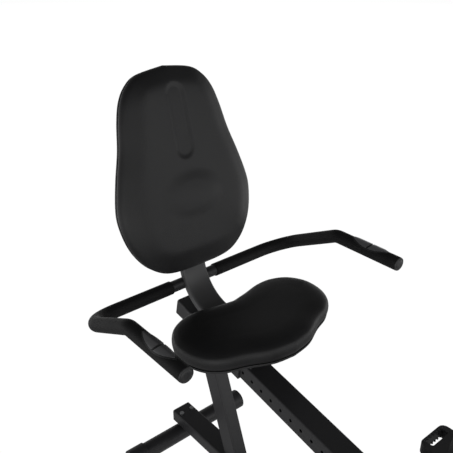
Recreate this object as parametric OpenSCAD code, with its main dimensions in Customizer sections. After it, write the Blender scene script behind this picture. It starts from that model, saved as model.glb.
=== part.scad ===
// Recumbent exercise bike: sliding seat on a slanted rail, belt drive with a braked flywheel, console mast.
// +X is forward (the rider's view), +Y is the rider's left, +Z is up. The origin is on the floor, mid-length.

/* [Seat handlebar] */
// Height of the cross tube's centre above the floor
bar_z = 585; // [560:5:610]
// Rearward offset of the cross tube's centre from the origin
bar_back = 546; // [520:1:580]
// Half the width between the two arms, centre to centre
bar_half = 320; // [300:5:340]
// Forward reach of the rising part of each arm
bar_rise_x = 209; // [190:1:225]
// Height that each arm gains
bar_rise_z = 104; // [85:1:125]
// Forward end of each grip, from the cross tube
bar_end_x = 408; // [385:1:430]
// Outer radius of the bare steel tube
bar_r = 15; // [14:0.5:16]
// Wall of the steel tube
bar_wall = 1.5; // [1.2:0.1:2]
// Outer radius of the foam sleeves
sleeve_r = 17.5; // [17:0.1:19]
// Bend radius at the outer corners, on the tube's centreline
bar_corner_r = 85; // [60:5:90]
// Bend radius where the grips level out
bar_level_r = 45; // [40:5:80]
// Half-width of the bare middle of the cross tube
bar_bare = 71; // [60:1:80]

/* [Seat rail] */
// Slope of the rail, down towards the front, in degrees
rail_pitch = 11.3; // [9:0.1:13]
// Width of the rail tube
rail_w = 62; // [56:1:66]
// Height of the rail tube
rail_h = 50; // [44:1:54]
// Wall of the rail tube
rail_wall = 2.5; // [2:0.1:3]
// Length of the rail
rail_len = 760; // [740:5:780]
// Radius of the seat-position holes
hole_r = 4.5; // [4:0.1:5]
// Distance between seat positions
hole_pitch = 34; // [30:1:36]
// First hole from the rail's rear end
hole_first = 105.8; // [100:0.1:110]
// Number of seat positions drilled in the rail
hole_count = 14; // [12:1:14]

/* [Seat] */
// Height of the seat's rim below the cross tube's centre
seat_drop = 20; // [14:1:26]
// Thickness of the seat cushion above its rim
seat_pad = 44; // [38:1:50]
// Lean of the backrest from upright, in degrees
recline = 15; // [12:0.5:18]
// Thickness of the backrest cushion
back_pad = 50; // [42:1:56]
// Width of the bent upright tube
post_w = 74; // [66:1:80]
// Thickness of the bent upright tube
post_t = 24; // [20:1:28]
// Inner bend radius of the upright
post_bend = 110; // [100:5:120]
// Length of the seat's sliding sleeve
carriage_len = 230; // [200:5:232]

/* [Drive] */
// Crank axle's distance ahead of the cross tube
crank_dx = 840; // [830:5:860]
// Height of the crank axle
crank_z = 350; // [340:5:365]
// Length of the crank arms
crank_len = 160; // [150:5:170]
// Angle of the right crank arm below the horizon, in degrees
crank_rest = 35; // [0:5:60]
// Radius of the crank pulley
pulley_r = 105; // [95:1:110]
// Radius of the flywheel
flywheel_r = 118; // [105:1:120]
// Radius of the flywheel's own belt pulley
small_pulley_r = 21; // [18:0.5:24]
// Flywheel axle's distance ahead of the crank axle
flywheel_dx = 225; // [220:1:240]
// Height of the flywheel axle
flywheel_z = 290; // [280:5:300]

/* [Frame] */
// Width of the base beam
beam_w = 60; // [50:1:60]
// Height of the base beam
beam_h = 40; // [36:1:44]
// Length of the rear stabilizer
rear_foot_w = 400; // [380:10:420]
// Length of the front stabilizer
front_foot_w = 480; // [440:10:500]
// Radius of the stabilizer tubes
foot_r = 25; // [22:1:27]
// Half the outer width of the drive housing
housing_half = 60; // [56:1:64]
// Lean of the console mast towards the rider, in degrees
mast_lean = 7; // [5:0.5:9]
// Length of the console mast
mast_len = 690; // [650:10:720]

/* [Hidden] */
$fn = 48;

fit = 0.1;        // gap between pieces that are fixed to each other
run = 0.05;       // radial clearance of a turning fit
bar_x = -bar_back;

// Rail: its own frame has +X down the slope, and z = 0 on the top face
rail_x = bar_x - 28;
rail_z = bar_z - 70;
glide_t = 1.7;
glide_gap = 0.3;
sleeve_gap = glide_t + glide_gap;
carriage_wall = 3.5;
carriage_s = 36;                                  // the sleeve's rear end along the rail
pin_s = hole_first + 2 * hole_pitch;              // the seat position that the pin faces at rest
pin_travel = 12;

// Upright: two straights joined by a bend
bend_x = bar_x + 8 + post_bend;
bend_z = bar_z + 68;
post_up = 330;                                    // straight length behind the backrest
post_fwd = 150;                                   // straight length under the seat
post_corner = 9;
post_wall = 2;

// Seat and backrest
seat_z = bar_z - seat_drop;
seat_x = bar_x + 260;
shell_t = 12;
board_t = 9;
back_x = bar_x - 30;
back_z = bar_z + 250;
back_shell_t = 10.6;
back_plate_t = 3;

// Drive
crank_x = bar_x + crank_dx;
fly_x = crank_x + flywheel_dx;
plate_y = rail_w / 2 + 0.2;
plate_t = 4;
plate_bolt_x = [60, 175];
belt_y = 17;
belt_w = 12;
belt_t = 3;
fly_y = -12;
fly_w = 20;
axle_r = 10;
arm_y = housing_half + 8;
arm_t = 14;
spindle_r = 7;
pedal_y = arm_y + arm_t + 8;
pedal_w = 88;

// Base
foot_z = foot_r + 2;
cap_r = foot_r + 4;
beam_z = foot_z + foot_r + 0.2;
rear_foot_x = bar_x - 50;
front_foot_x = crank_x + 300;
wheel_r = 27;
wheel_x = front_foot_x + 40;
wheel_z = 33;
wheel_y = front_foot_w / 2 + 12;

// Mast, console
mast_x = crank_x + 172;
mast_z = 436;
mast_w = 50;
mast_d = 38;
console_tilt = 38;

function spline(p, i, t, n) =
    let (a = p[(i - 1 + n) % n], b = p[i], c = p[(i + 1) % n], d = p[(i + 2) % n])
    0.5 * (2 * b + (c - a) * t + (2 * a - 5 * b + 4 * c - d) * t * t + (3 * b - a - 3 * c + d)
        * t * t * t);
function smooth_loop(p, steps) = [for (i = [0:len(p) - 1], k = [0:steps - 1]) spline(p, i, k / steps,
    len(p))];
function mirrored(half) = concat(half, [for (i = [len(half) - 1:-1:0]) if (abs(half[i][1]) > 0.01)
    [half[i][0], -half[i][1]]]);
function unit(v) = v / norm(v);
function inset(p, d) = [for (i = [0:len(p) - 1])
    let (t = unit(p[(i + 1) % len(p)] - p[(i - 1 + len(p)) % len(p)])) p[i] + d * [t[1], -t[0]]];
function rounded(w, h, r, n = 4) = [for (c = [[1, 1, 0], [-1, 1, 90], [-1, -1, 180], [1, -1, 270]],
    k = [0:n])
    [c[0] * (w / 2 - r) + r * cos(c[2] + 90 * k / n), c[1] * (h / 2 - r) + r * sin(c[2] + 90 * k / n)]];

// Outlines as (forward or up, sideways) points, from one end of the centreline to the other
seat_half = [[-98, 0], [-106, 45], [-117, 95], [-115, 140], [-93, 182], [-50, 208], [0, 208], [40, 190],
    [66, 158], [84, 110], [110, 55], [119, 0]];
back_half = [[-200, 0], [-199, 60], [-190, 105], [-165, 143], [-130, 170], [-90, 187], [-40, 196], [0,
    193],
    [60, 178], [125, 158], [190, 144], [235, 129], [267, 106], [288, 72], [299, 0]];
seat_outline = smooth_loop(mirrored(seat_half), 3);
back_outline = smooth_loop(mirrored(back_half), 3);
housing_points = [[-205, -70], [-215, 20], [-160, 88], [-40, 128], [90, 150], [200, 150], [300, 95],
    [362, -10],
    [370, -140], [330, -235], [200, -262], [0, -258], [-130, -200]];
housing_outline = smooth_loop(housing_points, 4);

module in_rail() translate([rail_x, 0, rail_z]) rotate([0, rail_pitch, 0]) children();
module sides() for (s = [1, -1]) mirror([0, s < 0 ? 1 : 0, 0]) children();
module across(y0, y1, r, fn = 48) translate([0, y0, 0]) rotate([-90, 0, 0]) cylinder(r = r,
    h = y1 - y0, $fn = fn);
module side_plate(points, y0, y1) translate([0, y1, 0]) rotate([90, 0, 0])
    linear_extrude(height = y1 - y0) polygon(points);
module flat_plate(points, z0, z1) translate([0, 0, z0]) linear_extrude(height = z1 - z0) polygon(points);
module box_tube(w, h, wall, length, r) rotate([90, 0, 90]) difference() {
    linear_extrude(height = length) polygon(rounded(w, h, r));
    translate([0, 0, -1]) linear_extrude(height = length + 2) polygon(rounded(w - 2 * wall,
        h - 2 * wall, r - wall));
}
module bolt(head_r, head_h, shank_r, shank_l) {
    cylinder(r = head_r, h = head_h, $fn = 6);
    translate([0, 0, -shank_l]) cylinder(r = shank_r, h = shank_l + 0.01, $fn = 24);
}

// ---- frame -------------------------------------------------------------------------------------------
module seat_rail() color([0.16, 0.16, 0.16]) in_rail() difference() {
    translate([0, 0, -rail_h / 2]) box_tube(rail_w, rail_h, rail_wall, rail_len, 5);
    for (k = [0:hole_count - 1]) translate([hole_first + k * hole_pitch, 0, -rail_h / 2])
        across(-rail_w, rail_w, hole_r, 24);
}
module rail_end_plug() color([0.08, 0.08, 0.08]) in_rail() translate([0, 0, -rail_h / 2]) rotate([90,
    0, 90]) {
    translate([0, 0, -3]) linear_extrude(height = 3 - fit) polygon(rounded(rail_w, rail_h, 5));
    translate([0, 0, -1]) linear_extrude(height = 16)
        polygon(rounded(rail_w - 2 * rail_wall - 2 * fit, rail_h - 2 * rail_wall - 2 * fit, 3));
}
leg_w = 40;
leg_d = 54;
leg_slant = 20;
leg_x = rail_x + 63.5;
module rear_leg() color([0.16, 0.16, 0.16]) difference() {
    translate([leg_x, 0, rail_z - 20]) rotate([0, 90 - leg_slant, 0])
        translate([0, 0, 0]) box_tube(leg_w, leg_d, 2, 620, 5);
    in_rail() translate([-200, -100, -rail_h - fit]) cube([900, 200, 400]);
    translate([rear_foot_x - 100, -100, beam_z + beam_h + fit - 400]) cube([900, 200, 400]);
}
module base_beam() color([0.16, 0.16, 0.16]) difference() {
    translate([rear_foot_x - 30, 0, beam_z + beam_h / 2])
        box_tube(beam_w, beam_h, 2.5, front_foot_x - rear_foot_x + 60, 5);
    for (x = [rear_foot_x, front_foot_x], y = [-18, 18])
        translate([x, y, 0]) cylinder(r = 4.4, h = 200, $fn = 24);
    for (x = plate_bolt_x) translate([crank_x + x, 0, beam_z + beam_h / 2]) across(-60, 60, 4.4, 24);
}
module stabilizer(x, w) translate([x, 0, foot_z]) difference() {
    across(-w / 2, w / 2, foot_r);
    across(-w / 2 - 1, w / 2 + 1, foot_r - 2);
    for (y = [-18, 18]) translate([0, y, -foot_r - 5]) cylinder(r = 4.4, h = 100, $fn = 24);
}
module rear_stabilizer() color([0.16, 0.16, 0.16]) stabilizer(rear_foot_x, rear_foot_w);
module front_stabilizer() color([0.16, 0.16, 0.16]) stabilizer(front_foot_x, front_foot_w);
module foot_cap(x, w) translate([x, 0, foot_z]) difference() {
    across(w / 2 - 45, w / 2 + 5, cap_r);
    across(w / 2 - 46, w / 2 + fit, foot_r + fit);
    translate([-cap_r, w / 2 - 50, -foot_z - 20]) cube([2 * cap_r, 60, 20]);
}
module rear_foot_caps() color([0.06, 0.06, 0.06]) sides() foot_cap(rear_foot_x, rear_foot_w);
module front_foot_caps() color([0.06, 0.06, 0.06]) sides() {
    difference() {
        foot_cap(front_foot_x, front_foot_w);
        translate([wheel_x, 0, wheel_z]) across(wheel_y - 10.6, wheel_y + 10.6, wheel_r + 1);
    }
    difference() {
        for (y = [front_foot_w / 2 - 5, front_foot_w / 2 + 23]) translate([0, y, 0])
            side_plate([[front_foot_x + 20, foot_z - 10], [wheel_x + 8, wheel_z - 12], [wheel_x + 8,
                wheel_z + 10],
                [front_foot_x + 10, foot_z + 26]], 0, 5);
        translate([front_foot_x, 0, foot_z]) across(0, front_foot_w, cap_r + fit);
        translate([wheel_x, front_foot_w / 2 - 20, wheel_z]) across(0, 60, 4.05, 24);
    }
    translate([front_foot_x - 6, front_foot_w / 2 + 5, foot_z - 12])
        cube([wheel_x - wheel_r - front_foot_x + 5, 23, 24]);
}
module transport_wheel() translate([wheel_x, 0, wheel_z]) difference() {
    across(wheel_y - 10, wheel_y + 10, wheel_r);
    across(wheel_y - 11, wheel_y + 11, 4 + run, 24);
    for (y = [wheel_y - 11, wheel_y + 7]) translate([0, y, 0]) difference() {
        across(0, 4, 21);
        across(-1, 5, 9);
    }
}
module transport_wheel_left() color([0.1, 0.1, 0.1]) transport_wheel();
module transport_wheel_right() color([0.1, 0.1, 0.1]) mirror([0, 1, 0]) transport_wheel();

plate_points = [[-184, 16], [-176, 34], [-60, 46], [120, 120], [190, 128], [196, 70], [262, -20], [262,
    -150],
    [200, crank_z * -1 + beam_z + 4], [20, crank_z * -1 + beam_z + 4], [-30, -110], [-70, -60], [-184,
        -42]];
module drive_plates() color([0.3, 0.3, 0.32]) sides() translate([crank_x, 0, crank_z]) difference() {
    side_plate(plate_points, plate_y, plate_y + plate_t);
    across(0, 60, 17 + fit);
    translate([flywheel_dx, 0, flywheel_z - crank_z]) across(0, 60, 6.1, 24);
    for (x = plate_bolt_x) translate([x, 0, beam_z + beam_h / 2 - crank_z]) across(0, 60, 4.4, 24);
}
module crank_bearings() color([0.6, 0.6, 0.62]) sides() translate([crank_x, 0, crank_z]) difference() {
    union() {
        across(plate_y - 6, plate_y + plate_t, 17);
        across(plate_y - 6, plate_y - fit, 20);
    }
    across(0, 60, axle_r + run);
}
module flywheel_axle() color([0.65, 0.65, 0.68]) translate([fly_x, 0, flywheel_z]) {
    across(-plate_y - plate_t - 10, plate_y + plate_t + 10, 6, 24);
    sides() difference() {
        across(plate_y + plate_t + fit, plate_y + plate_t + 7, 10, 6);
        across(0, 80, 6 + fit, 24);
    }
}
module mast_frame() translate([mast_x, 0, mast_z]) rotate([0, -mast_lean, 0]) children();
module mast() color([0.16, 0.16, 0.16]) mast_frame() difference() {
    linear_extrude(height = mast_len) polygon(rounded(mast_d, mast_w, 12));
    translate([0, 0, -1]) linear_extrude(height = mast_len - 4) polygon(rounded(mast_d - 4, mast_w - 4,
        10));
    translate([0, 0, mast_len - 60]) across(-50, 50, 12.7 + fit);
    translate([-mast_d, 0, mast_len - 190]) rotate([0, 90, 0]) cylinder(r = 6, h = mast_d, $fn = 24);
}
hb_half = 150;
hb_corner = 45;
hb_arm = 75;
hb_r = 12.7;
// The front bar's own frame has its origin on the bar's centreline, -X towards the rider
module hb_frame() mast_frame() translate([0, 0, mast_len - 60]) rotate([0, mast_lean - 8, 0]) children();
module hb_path(r, from, to) {
    // straight, corner and arm of one side
    if (from < 1) across(from * hb_half, hb_half - hb_corner, r);
    if (to > 1) {
        translate([-hb_corner, hb_half - hb_corner, 0]) rotate([0, 0, 0])
            rotate_extrude(angle = 90) translate([hb_corner, 0]) circle(r = r);
        translate([-hb_corner, hb_half, 0]) rotate([0, -90, 0]) cylinder(r = r, h = hb_arm);
    }
}
module front_handlebar() color([0.16, 0.16, 0.16]) hb_frame() difference() {
    union() {
        across(-hb_half + hb_corner, hb_half - hb_corner, hb_r);
        sides() hb_path(hb_r, 1, 2);
    }
    across(-hb_half + hb_corner - 1, hb_half - hb_corner + 1, hb_r - 1.5);
    sides() translate([-hb_corner + 0.01, hb_half, 0]) rotate([0, -90, 0]) cylinder(r = hb_r - 1.5,
        h = hb_arm + 1);
}
module front_grips() color([0.05, 0.05, 0.05]) hb_frame() sides() translate([-hb_corner, hb_half, 0])
    rotate([0, -90, 0]) difference() {
        translate([0, 0, 14]) cylinder(r = hb_r + 3.6, h = hb_arm - 8);
        translate([0, 0, 10]) cylinder(r = hb_r + fit, h = hb_arm - 10 + fit);
    }
module housing_half_shell(s) mirror([0, s < 0 ? 1 : 0, 0]) translate([crank_x, 0, crank_z]) difference() {
    union() {
        side_plate(housing_outline, 0.3, housing_half - 12);
        side_plate(inset(housing_outline, 9), housing_half - 12.01, housing_half);
    }
    side_plate(inset(housing_outline, 3), 0, housing_half - 14);
    side_plate(inset(housing_outline, 12), housing_half - 14.01, housing_half - 3);
    across(0, 100, 22);
    // openings for the rail at the back, the mast on top and the beam below
    translate([-crank_x, 0, -crank_z]) {
        in_rail() translate([rail_len - 400, -rail_w / 2 - 0.5, -rail_h - 0.5]) cube([430, rail_w + 1,
            rail_h + 1]);
        mast_frame() translate([-mast_d / 2 - 1, -mast_w / 2 - 1, 0]) cube([mast_d + 2, mast_w + 2, 300]);
        translate([crank_x - 300, -plate_y - plate_t - 1, beam_z - 1])
            cube([900, 2 * (plate_y + plate_t + 1), beam_h + 4]);
    }
}
module housing_left() color([0.09, 0.09, 0.1]) housing_half_shell(1);
module housing_right() color([0.09, 0.09, 0.1]) housing_half_shell(-1);
screw_spots = [[-150, 20], [150, 108], [312, -60], [180, -222], [-60, -190]];
module housing_screws() color([0.4, 0.4, 0.4]) sides() for (p = screw_spots) translate([crank_x + p[0],
    housing_half + 0.1, crank_z + p[1]]) rotate([-90, 0, 0]) difference() {
        cylinder(r1 = 5, r2 = 4, h = 2, $fn = 24);
        translate([-3.5, -0.6, 1.2]) cube([7, 1.2, 2]);
        translate([-0.6, -3.5, 1.2]) cube([1.2, 7, 2]);
    }
module belt_loop(r1, r2) hull() {
    across(belt_y - belt_w / 2 + fit, belt_y + belt_w / 2 - fit, r1, 64);
    translate([flywheel_dx, 0, flywheel_z - crank_z])
        across(belt_y - belt_w / 2 + fit, belt_y + belt_w / 2 - fit, r2, 48);
}
module drive_belt() color([0.05, 0.05, 0.05]) translate([crank_x, 0, crank_z]) difference() {
    belt_loop(pulley_r + 0.4 + belt_t, small_pulley_r + 0.4 + belt_t);
    scale([1, 2, 1]) translate([0, -belt_y / 2, 0]) belt_loop(pulley_r + 0.4, small_pulley_r + 0.4);
}
module frame_bolts() color([0.55, 0.55, 0.57]) {
    for (x = [rear_foot_x, front_foot_x], y = [-18, 18])
        translate([x, y, beam_z + beam_h + fit]) bolt(7, 5, 4, beam_h + 20);
    sides() for (x = plate_bolt_x) translate([crank_x + x, plate_y + plate_t + fit, beam_z + beam_h / 2])
        rotate([-90, 0, 0]) bolt(6.5, 5, 4, plate_t + 4);
    sides() translate([wheel_x, front_foot_w / 2 - 6, wheel_z]) {
        across(-1, 36, 4, 24);
        across(-4, -0.2 + 1, 7, 6);
        across(34.2, 38, 7, 6);
    }
}

// ---- console -----------------------------------------------------------------------------------------
console_w = 190;
console_h = 150;
console_t = 36;
module console_frame() mast_frame() translate([-2, 0, mast_len + 67]) rotate([0,
    mast_lean - console_tilt, 0]) children();
function console_outline(d) = [for (p = smooth_loop(mirrored([[-75 + d, 0], [-75 + d, 70 - d], [-45,
    90 - d],
    [20, 95 - d], [60, 84 - d], [75 - d, 55 - d], [78 - d, 0]]), 3)) [p[0], p[1]]];
module console_slab(d, x0, x1) rotate([0, -90, 0]) translate([0, 0, -x1])
    linear_extrude(height = x1 - x0) polygon(console_outline(d));
module console_back() color([0.09, 0.09, 0.1]) console_frame() difference() {
    union() {
        console_slab(0, -4, 18);
        console_slab(22, 17.99, 30);
    }
    console_slab(3, -5, 15);
    translate([-20, 0, -76 + 20]) rotate([0, 90, 0]) cylinder(r = 3, h = 60, $fn = 24);
}
button_y = [-36, 0, 36];
button_z = -46;
button_r = 9;
module console_face() color([0.14, 0.14, 0.15]) console_frame() difference() {
    console_slab(0, -8, -4 - fit);
    translate([-20, -58, -18]) cube([40, 116, 66]);
    for (y = button_y) translate([-20, y, button_z]) rotate([0, 90, 0]) cylinder(r = button_r + 0.5,
        h = 40, $fn = 32);
}
module console_screen() color([0.35, 0.4, 0.38]) console_frame() translate([-7, -57.8, -17.8])
    cube([2.5, 115.6, 65.6]);
module button(i) color([0.6, 0.6, 0.62]) console_frame() translate([-10.5, button_y[i], button_z])
    rotate([0, 90, 0]) cylinder(r = button_r, h = 6, $fn = 32);
module button_mode() button(0);
module button_set() button(1);
module button_reset() button(2);
module tension_knob() color([0.1, 0.1, 0.1]) mast_frame() translate([-mast_d / 2, 0, mast_len - 190])
    rotate([0, -90, 0]) {
    difference() {
        union() {
            translate([0, 0, 1]) cylinder(r = 20, h = 4, $fn = 48);
            translate([0, 0, 4.9]) cylinder(r = 16, h = 16, $fn = 48);
        }
        for (a = [0:30:330]) rotate([0, 0, a]) translate([18, 0, 6]) cylinder(r = 3.4, h = 20, $fn = 24);
    }
    translate([0, 0, -12]) cylinder(r = 5.9, h = 14, $fn = 32);
}

// ---- crank, pedals, flywheel -------------------------------------------------------------------------
module in_crank() translate([crank_x, 0, crank_z]) children();
module crank_axle() color([0.6, 0.6, 0.62]) in_crank() {
    across(-arm_y - arm_t, arm_y + arm_t, axle_r);
    sides() across(arm_y + arm_t + fit, arm_y + arm_t + 5, 12, 6);
}
module crank_arm() {
    difference() {
        union() {
            across(arm_y, arm_y + arm_t, 21);
            translate([0, arm_y + 1, -13]) cube([crank_len, arm_t - 2, 26]);
            translate([crank_len, 0, 0]) across(arm_y, arm_y + arm_t, 16);
        }
        across(0, 200, axle_r + fit);
    }
    translate([crank_len, 0, 0]) across(arm_y + arm_t - 0.01, pedal_y + pedal_w - 8, spindle_r, 32);
}
module crank_arm_right() color([0.12, 0.12, 0.12]) in_crank() rotate([0, crank_rest, 0]) mirror([0, 1,
    0]) crank_arm();
module crank_arm_left() color([0.12, 0.12, 0.12]) in_crank() rotate([0, crank_rest + 180, 0]) crank_arm();
module drive_pulley() color([0.2, 0.2, 0.2]) in_crank() difference() {
    union() {
        across(belt_y - belt_w / 2, belt_y + belt_w / 2, pulley_r, 96);
        across(belt_y - belt_w / 2 - 1.5, belt_y - belt_w / 2 + 0.01, pulley_r + 2.5, 96);
    }
    across(0, 60, axle_r + fit);
    for (a = [0:60:300]) rotate([0, a, 0]) translate([62, 0, 0]) across(0, 60, 20, 32);
}
// A pedal is drawn about its spindle and then set at the crank's end
pedal_l = 100;
pedal_h = 24;
module at_pedal(s) in_crank() rotate([0, s < 0 ? crank_rest : crank_rest + 180, 0])
    translate([crank_len, 0, 0])
    rotate([0, s < 0 ? -crank_rest : -crank_rest - 180, 0]) children();
module pedal_body() difference() {
    translate([0, pedal_y + pedal_w / 2, 0]) translate([0, 0, -pedal_h / 2])
        linear_extrude(height = pedal_h)
        polygon(rounded(pedal_l, pedal_w, 14));
    across(pedal_y - 1, pedal_y + pedal_w - 8 + 2, spindle_r + run, 32);
    for (x = [-34, 34]) translate([x, pedal_y + pedal_w / 2, -20]) linear_extrude(height = 40)
        polygon(rounded(18, 58, 4));
}
strap_h = 66;
module strap_loop(grow, y0, y1) {
    // arch over the foot: two sides and a curved top
    translate([0, 0, 0]) difference() {
        translate([14, 0, 0]) rotate([0, 0, 0]) translate([0, (y0 + y1) / 2, pedal_h / 2 + 0.4])
            rotate([90, 0, 90]) linear_extrude(height = 26) polygon(arch((y1 - y0) / 2 + grow,
                strap_h + grow));
    }
}
function arch(a, h) = [for (k = [0:16]) let (t = 180 * k / 16)
    [a * pow(abs(cos(t)), 0.6) * sign(cos(t)), h * pow(sin(t), 0.7)]];
module pedal_strap() difference() {
    strap_loop(2.6, pedal_y + 3, pedal_y + pedal_w - 3);
    translate([-7, 0, -0.01]) scale([1.4, 1, 1]) strap_loop(0, pedal_y + 3, pedal_y + pedal_w - 3);
}
module pedal_right() color([0.07, 0.07, 0.07]) at_pedal(-1) mirror([0, 1, 0]) pedal_body();
module pedal_left() color([0.07, 0.07, 0.07]) at_pedal(1) pedal_body();
module pedal_strap_right() color([0.12, 0.12, 0.12]) at_pedal(-1) mirror([0, 1, 0]) pedal_strap();
module pedal_strap_left() color([0.12, 0.12, 0.12]) at_pedal(1) pedal_strap();
module flywheel() color([0.35, 0.35, 0.37]) translate([fly_x, 0, flywheel_z]) difference() {
    union() {
        across(fly_y - fly_w / 2, fly_y + fly_w / 2, flywheel_r, 96);
        across(fly_y - 15, belt_y + 11, 16);
        across(belt_y - belt_w / 2, belt_y + belt_w / 2, small_pulley_r);
    }
    across(-60, 60, 6 + run, 24);
    for (y = [fly_y - fly_w / 2 - 1, fly_y + 4]) translate([0, y, 0]) difference() {
        across(0, 7, 92, 64);
        across(-1, 8, 34);
    }
}
magnet_r = flywheel_r + 4;
module magnet_arm() color([0.5, 0.5, 0.52]) translate([fly_x, 0, flywheel_z]) difference() {
    union() {
        difference() {
            across(fly_y - 9, fly_y + 9, magnet_r + 9, 96);
            across(fly_y - 10, fly_y + 10, magnet_r, 96);
            rotate([0, 28, 0]) translate([-200, -100, -200]) cube([400, 200, 200]);
            rotate([0, -28 - 60 + 90, 0]) translate([-400, -100, -10]) cube([400, 200, 400]);
        }
    }
    rotate([0, -8, 0]) translate([magnet_r + 4.5, 0, 0]) across(-60, 60, 3 + run, 24);
}

// ---- sliding seat ------------------------------------------------------------------------------------
module seat_carriage() color([0.16, 0.16, 0.16]) in_rail() {
    difference() {
        translate([carriage_s, 0, -rail_h / 2]) rotate([90, 0, 90]) linear_extrude(height = carriage_len)
            polygon(rounded(rail_w + 2 * (sleeve_gap + carriage_wall),
                rail_h + 2 * (sleeve_gap + carriage_wall), 6));
        translate([carriage_s - 1, 0, -rail_h / 2]) rotate([90, 0, 90])
            linear_extrude(height = carriage_len + 2)
            polygon(rounded(rail_w + 2 * sleeve_gap, rail_h + 2 * sleeve_gap, 3));
        translate([carriage_s - 1, -leg_w / 2 - 3, -rail_h - 30]) cube([carriage_len + 2, leg_w + 6, 40]);
        translate([pin_s, 0, -rail_h / 2]) across(0, 100, 9, 32);
    }
    difference() {
        translate([pin_s, 0, -rail_h / 2]) across(rail_w / 2 + sleeve_gap, rail_w / 2 + 30, 9, 32);
        translate([pin_s, 0, -rail_h / 2]) across(0, 100, 4 + run, 24);
    }
}
module glide_liners() color([0.75, 0.75, 0.72]) in_rail() for (s = [carriage_s + 4,
    carriage_s + carriage_len - 44])
    translate([s, 0, 0]) {
        translate([0, -rail_w / 2 + 5, glide_gap]) cube([40, rail_w - 10, glide_t - fit]);
        sides() translate([0, rail_w / 2 + glide_gap, -rail_h + 6]) cube([40, glide_t - fit,
            rail_h - 12]);
    }
// The upright's side view is two straights and a bend. Slabs of it, each a little narrower and thicker,
// stack across the width to round the flat tube's corners.
function post_face(r, more) = concat([[post_fwd + more, -r]],
    [for (k = [0:14]) let (a = 270 - (90 - recline) * k / 14) r * [cos(a), sin(a)]],
    [r * [-cos(recline), -sin(recline)] + (post_up + more) * [-sin(recline), cos(recline)]]);
function backwards(p) = [for (i = [len(p) - 1:-1:0]) p[i]];
module post_slab(w, t, more) translate([bend_x, 0, bend_z]) side_plate(concat(
    post_face(post_bend + (post_t + t) / 2, more), backwards(post_face(post_bend + (post_t - t) / 2,
        more))), -w / 2, w / 2);
module post_solid(d, more) for (k = [0:3]) let (a = 11.25 + 22.5 * k, r = post_corner - d)
    post_slab(post_w - 2 * d - 2 * r * (1 - sin(a)), post_t - 2 * d - 2 * r * (1 - cos(a)), more);
module seat_upright() color([0.2, 0.2, 0.2]) difference() {
    post_solid(0, 0);
    post_solid(post_wall, 1);
    translate([bar_x, 0, bar_z]) across(-100, 100, bar_r + 0.05);
}
module riser_plates() color([0.2, 0.2, 0.2]) intersection() {
    translate([bend_x - 44, -post_w / 2 + 8, 0]) difference() {
        cube([post_fwd + 40, post_w - 16, 900]);
        translate([-1, 4, -1]) cube([post_fwd + 50, post_w - 24, 910]);
    }
    in_rail() translate([0, -100, sleeve_gap + carriage_wall + fit]) cube([600, 200, 200]);
    difference() {
        translate([bar_x - 100, -100, 0]) cube([600, 200, bend_z - post_bend - 4]);
        post_slab(post_w + 2, post_t + 2 * fit, 50);
    }
}
module bar_cross_tube() color([0.13, 0.13, 0.13]) translate([bar_x, 0, bar_z]) difference() {
    across(-bar_bare - 20, bar_bare + 20, bar_r);
    across(-bar_bare - 21, bar_bare + 21, bar_r - bar_wall);
}
// One arm from the cross tube's end to the grip's end, on the rider's left
rise = [bar_rise_x, bar_rise_z];
rise_a = atan2(bar_rise_z, bar_rise_x);
level_cut = bar_level_r * tan(rise_a / 2);
rise_len = norm(rise) - bar_corner_r - level_cut;
// Stations along an arm: [centre, first section axis, second section axis]
function arm_line(y0, x_end) = let (c = bar_half - bar_corner_r, x1 = bar_corner_r + rise_len,
    run_out = x_end - bar_rise_x - level_cut) concat(
    [[[0, y0, 0], [-1, 0, 0], [0, 0, 1]]],
    [for (t = [0:9:90]) [[bar_corner_r * (1 - cos(t)), c + bar_corner_r * sin(t), 0], [-cos(t), sin(t),
        0], [0, 0, 1]]],
    [for (k = [0:3]) let (a = rise_a * k / 3)
        [[x1 + bar_level_r * sin(a), bar_half, bar_level_r * (cos(a) - 1)], [0, 1, 0], [sin(a), 0,
            cos(a)]]],
    [[[x1 + bar_level_r * sin(rise_a) + run_out * cos(rise_a), bar_half,
        bar_level_r * (cos(rise_a) - 1) - run_out * sin(rise_a)], [0, 1, 0], [sin(rise_a), 0,
            cos(rise_a)]]]);
function ring_points(line, r, n) = [for (s = line) for (i = [0:n - 1])
    s[0] + r * cos(i * 360 / n) * s[1] + r * sin(i * 360 / n) * s[2]];
module arm_path(r_out, r_in, y0, x_end) let (n = 32, line = arm_line(y0, x_end), m = len(line), q = m * n)
    rotate([0, -rise_a, 0]) polyhedron(
        points = concat(ring_points(line, r_out, n), ring_points(line, r_in, n)),
        faces = concat(
            [for (k = [0:m - 2]) for (i = [0:n - 1]) let (j = (i + 1) % n) [k * n + i, k * n + j,
                k * n + n + j, k * n + n + i]],
            [for (k = [0:m - 2]) for (i = [0:n - 1]) let (j = (i + 1) % n)
                [q + k * n + j, q + k * n + i, q + k * n + n + i, q + k * n + n + j]],
            [for (i = [0:n - 1]) let (j = (i + 1) % n) [j, i, q + i, q + j]],
            [for (i = [0:n - 1]) let (j = (i + 1) % n) [q - n + i, q - n + j, 2 * q - n + j,
                2 * q - n + i]]));
module bar_arm() translate([bar_x, 0, bar_z]) arm_path(bar_r, bar_r - bar_wall, bar_bare + 20 + fit,
    bar_end_x - 4);
module bar_arm_left() color([0.13, 0.13, 0.13]) bar_arm();
module bar_arm_right() color([0.13, 0.13, 0.13]) mirror([0, 1, 0]) bar_arm();
module grip_sleeve() translate([bar_x, 0, bar_z]) arm_path(sleeve_r, bar_r + fit, bar_bare,
    bar_end_x - 4);
module sleeve_left() color([0.07, 0.07, 0.07]) grip_sleeve();
module sleeve_right() color([0.07, 0.07, 0.07]) mirror([0, 1, 0]) grip_sleeve();
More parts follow.
